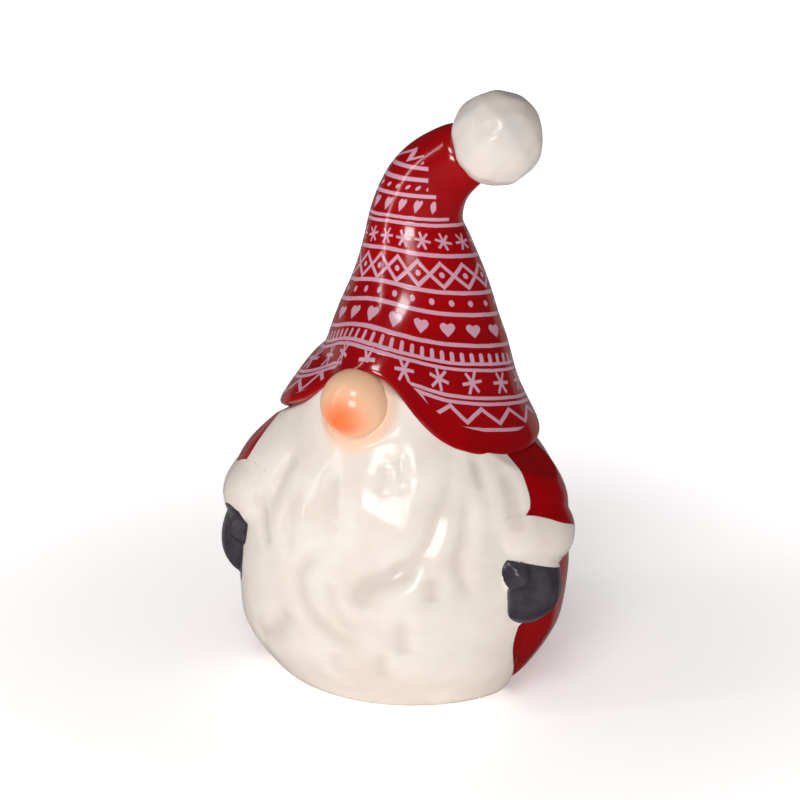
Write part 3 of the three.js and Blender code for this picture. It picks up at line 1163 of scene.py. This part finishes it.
class HatPrint:
    """Shapes of the print, each as a distance in mm: below 0 inside the shape."""

    def __init__(self, shader):
        self.shader = shader
        sine, cosine = shader.attribute("turn_sine"), shader.attribute("turn_cosine")
        turn = shader.maths("ARCTAN2", sine, cosine) * (180 / math.pi)
        # The rows are spaced a little wider at the sides of the hat.
        self.round = turn + sine * cosine * 8
        self.level = shader.attribute("level")
        self.stretch = shader.attribute("stretch")
        self.margin = shader.attribute("margin")
        self.swell = shader.attribute("swell")
        self.wobble = (shader.noise(5, 2) - 0.5) * 0.35

    def step_round(self, level, count):
        """The room that each of `count` motifs has round the hat, in mm."""
        girth = 2 * math.pi * float(np.interp(level + 2, hat_line[:, 2], hat_line[:, 3]))
        return girth / count

    def up(self, level):
        """Height above a row's middle, in true mm on the hat."""
        return (self.level - level) / self.stretch + self.wobble

    def cell(self, level, count, start=0.0):
        """Distance sideways from the middle of the nearest of `count` motifs, and its number.
        The numbers are kept above 0."""
        around = (self.round - start) * (count / 360) + 500.5
        number = self.shader.maths("FLOOR", around)
        share = around - number - 0.5
        return share * self.step_round(level, count) * self.swell, number

    def either(self, *shapes):
        """All of the shapes together."""
        first, *rest = shapes
        for shape in rest:
            first = self.shader.maths("MINIMUM", first, shape)
        return first

    def both(self, *shapes):
        """Only what lies in every one of the shapes."""
        first, *rest = shapes
        for shape in rest:
            first = self.shader.maths("MAXIMUM", first, shape)
        return first

    def root(self, x, y):
        """How far the place (x, y) is from a motif's middle."""
        return self.shader.maths("SQRT", x * x + y * y)

    def line(self, level, half):
        return abs(self.up(level)) - half

    def zigzag(self, level, count, high, half, start=0.0):
        x, _ = self.cell(level, count, start)
        half_step = self.step_round(level, count) / 2
        ridge = (abs(x) * (2 / half_step) - 1) * high
        slope = 2 * high / half_step
        return abs(self.up(level) - ridge) * (1 / math.hypot(1, slope)) - half

    def diamonds(self, level, count, high, half, start=0.0):
        """A chain of diamonds, each with a dot in it."""
        dot = 0.72
        x, _ = self.cell(level, count, start)
        half_step = self.step_round(level, count) / 2
        ridge = (1 - abs(x) * (1 / half_step)) * high
        slope = high / half_step
        y = self.up(level)
        sides = abs(abs(y) - ridge) * (1 / math.hypot(1, slope)) - half
        return self.either(sides, self.root(x, y) - dot)

    def dots(self, level, count, radius, start=0.0):
        x, _ = self.cell(level, count, start)
        return self.root(x, self.up(level)) - radius

    def hearts(self, level, count, wide, high, start=0.0):
        """Two round lobes over a point, worked out on a heart about one unit high."""
        x, _ = self.cell(level, count, start)
        x = abs(x) * (1.2 / wide)
        y = self.up(level) * (1.1 / high) + 0.5
        lobe = self.root(x - 0.3, y - 0.76) - 0.3
        point = (x + abs(y - 0.49) - 0.5) * 0.707
        return self.either(lobe, point) * (wide / 1.2)

    def flakes(self, level, count, radius, half, start=0.0):
        """Six-armed flakes, each leaning its own way."""
        x, number = self.cell(level, count, start)
        y = self.up(level)
        chance = self.shader.node("ShaderNodeTexWhiteNoise", {"noise_dimensions": "1D"}, W=number)
        lean = Number(self.shader, chance.outputs["Value"]) * 0.5 - 0.25 + math.pi / 6
        angle = self.shader.maths("ARCTAN2", y, x) + lean + 20 * math.pi
        sixth = math.pi / 3
        folded = self.shader.maths("MODULO", angle, sixth) - sixth / 2
        reach = self.root(x, y)
        out = reach * self.shader.maths("COSINE", folded)
        side = abs(reach * self.shader.maths("SINE", folded))
        taper = out * (-0.1 * half / radius) + half
        return self.both(side - taper, out - radius)

    def teeth(self, level, count, half, high, start=0.0):
        """A comb of short round-ended strokes."""
        x, _ = self.cell(level, count, start)
        y = self.up(level)
        tall = self.shader.maths("MINIMUM", self.shader.maths("MAXIMUM", y, 0.0), high - half)
        return self.root(x, y - tall) - half


def hat_paint():
    """Red with the knitted rows printed on it, each row given by its level up the hat."""
    shader = Shader("hat_glaze")
    tone = shader.step(shader.noise(16, 2), 0.3, 0.75)
    colour = shader.mix(tone * 0.55, hat_red, hat_red_deep)
    rows = HatPrint(shader)
    x, y, _ = shader.parts(shader.coordinates)
    # The side that curls over to the pompom is left plain: the rows stop at a distance towards it.
    toward_tip = (x + y * 0.5) / mm
    # The lower rows stop short of the hat's edge, and nothing is printed on the edge itself.
    near_edge = (4.4 - rows.margin) * 0.6
    on_edge = 2.2 - rows.margin

    upper = rows.either(
        rows.both(rows.zigzag(144.0, 16, 1.3, 0.33, 13.5), toward_tip - 4.6),
        rows.line(141.0, 0.5),
        rows.line(137.6, 0.55),
        rows.dots(135.2, 21, 0.62, 43),
    )
    upper = rows.both(upper, toward_tip - 5.9)
    small = rows.either(rows.line(132.9, 0.5), rows.hearts(129.6, 15, 2.4, 3.6, 23))
    upper = rows.either(upper, rows.both(small, toward_tip - 8.2))
    tapering = rows.both(rows.line(126.3, 0.42), toward_tip - 12)
    middle = rows.either(
        tapering,
        rows.line(124.6, 0.45),
        rows.flakes(120.4, 15, 2.2, 0.33, 86),
        rows.line(116.7, 0.5),
        rows.diamonds(111.5, 16, 2.95, 0.46, 8),
        rows.line(107.0, 0.5),
        rows.dots(104.2, 22, 0.78, 8),
        rows.line(101.3, 0.5),
        rows.hearts(97.0, 18, 4.4, 3.4, -8),
        rows.line(93.4, 0.48),
        rows.teeth(89.0, 54, 0.62, 2.4),
        rows.line(88.7, 0.4),
        rows.line(87.1, 0.4),
    )
    flakes = rows.both(rows.flakes(83.8, 17, 3.0, 0.44, 1.5), on_edge)
    lower = rows.either(
        rows.line(79.9, 0.42),
        rows.line(78.4, 0.42),
        rows.zigzag(75.4, 20, 1.7, 0.48, 6),
        rows.line(72.0, 0.42),
        rows.line(70.3, 0.42),
    )
    lower = rows.both(lower, near_edge)
    shape = rows.either(upper, middle, flakes, lower)
    shape = rows.both(shape, on_edge)
    ink = shader.step(shape, 0.08, -0.08)
    colour = shader.mix(ink, colour, print_pink)
    roughness = shader.noise(6) * 0.05 + 0.13
    height = glaze_waves(shader, 1.2) + ink * (0.02 * mm)
    return shader.finish(colour, roughness, height, gloss=0.9)


# ---------------------------------------------------------------- the gnome

paints = {
    "beard": white_paint("beard_glaze", by_nose=True),
    "sleeve": red_paint("sleeve_glaze", coat_red, coat_red_deep, by_rim=True),
    "cuff": white_paint("cuff_glaze"),
    "mitten": grey_paint("mitten_glaze", 0.5),
    "thumb": grey_paint("thumb_glaze", 0.0),
}

make_coat(red_paint("coat_glaze", coat_red, coat_red_deep, clay_foot=True))
make_pressed_pieces(paints)
make_hat(hat_paint())
make_nose(skin_paint())
make_pompom(white_paint("pompom_glaze", pompom_white, shade_grooves=False))

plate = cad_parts["foot_plate"]
plate.data.materials.clear()
plate.data.materials.append(clay_paint())

# ---------------------------------------------------------------- floor, light and camera


def make_floor():
    """White paper that gives off some light, more of it further out, as a lit backdrop does."""
    bpy.ops.object.select_all(action="DESELECT")
    bpy.ops.mesh.primitive_plane_add(size=12)
    floor = bpy.context.object
    floor.name = "floor"
    shader = Shader("floor_paper")
    material = shader.finish(linear(252, 251, 250), 0.6, gloss=0.3)
    near_light, far_light = (0.44, 0.42, 0.42, 1), (1, 1, 1, 1)
    surface = next(n for n in shader.tree.nodes if n.type == "BSDF_PRINCIPLED")
    far = shader.step(shader.distance((0, 0, 0)), 60, 300)
    shader.feed(surface.inputs["Emission Color"], shader.mix(far, near_light, far_light))
    surface.inputs["Emission Strength"].default_value = 1.0
    floor.data.materials.append(material)
    floor.visible_glossy = False


def make_world(strength):
    """A dim, plain, slightly warm room."""
    world = bpy.data.worlds.new("studio")
    world.use_nodes = True
    background = world.node_tree.nodes["Background"]
    background.inputs["Color"].default_value = (1, 0.99, 0.98, 1)
    background.inputs["Strength"].default_value = strength
    bpy.context.scene.world = world


def way_to(turn, elevation):
    """The unit vector from the gnome towards a lamp or the camera."""
    a, e = math.radians(turn), math.radians(elevation)
    return Vector((math.sin(a) * math.cos(e), -math.cos(a) * math.cos(e), math.sin(e)))


def add_lamp(name, turn, elevation, distance, size, watts, seen_in_glaze=True):
    """A softbox that faces the gnome. Distance and size are in metres."""
    lamp = bpy.data.lights.new(name, "AREA")
    lamp.shape = "RECTANGLE"
    lamp.size, lamp.size_y = size
    lamp.energy = watts
    holder = bpy.data.objects.new(name, lamp)
    bpy.context.collection.objects.link(holder)
    way = way_to(turn, elevation)
    holder.visible_glossy = seen_in_glaze
    holder.location = gnome_heart + way * distance
    holder.rotation_euler = way.to_track_quat("Z", "Y").to_euler()
    return holder


gnome_heart = Vector((0, 0, 0.08))
camera_turn, camera_elevation, camera_distance = 27, 18.5, 0.9
lens, sensor_width = 151.1, 36
# How far the aim lies beside and below the heart, as the camera sees it.
aim_left, aim_down = 2.14, 4.29


def make_camera():
    """A long lens, looking a little down at the gnome from its left."""
    camera = bpy.data.cameras.new("camera")
    camera.lens = lens
    camera.sensor_width = sensor_width
    camera.clip_start = 0.01
    holder = bpy.data.objects.new("camera", camera)
    bpy.context.collection.objects.link(holder)
    way = way_to(camera_turn, camera_elevation)
    turn = way.to_track_quat("Z", "Y")
    right, up = turn @ Vector((1, 0, 0)), turn @ Vector((0, 1, 0))
    aim = gnome_heart - right * (aim_left * mm) - up * (aim_down * mm)
    holder.location = aim + way * camera_distance
    holder.rotation_euler = turn.to_euler()
    bpy.context.scene.camera = holder


make_floor()
make_world(0.025)
# Name, turn, elevation, distance, size and watts of each lamp.
key_turn = camera_turn - 13
add_lamp("key_softbox", key_turn, 47, 1.1, (0.34, 0.28), 2.9)
add_lamp("low_softbox", key_turn, 18, 1.1, (0.40, 0.28), 3.9)
add_lamp("side_strip", camera_turn - 75, 24, 1.0, (0.05, 0.9), 1.1)
add_lamp("overhead", 0, 88, 1.6, (1.8, 1.8), 5.5, seen_in_glaze=False)
# Behind and below, it lights nothing. It only keeps the rims from mirroring a dark room.
backdrop = add_lamp("backdrop", camera_turn + 180, -16, 1.6, (3.4, 1.2), 2.5)
backdrop.visible_diffuse = False
make_camera()
bpy.context.scene.view_settings.view_transform = "Standard"
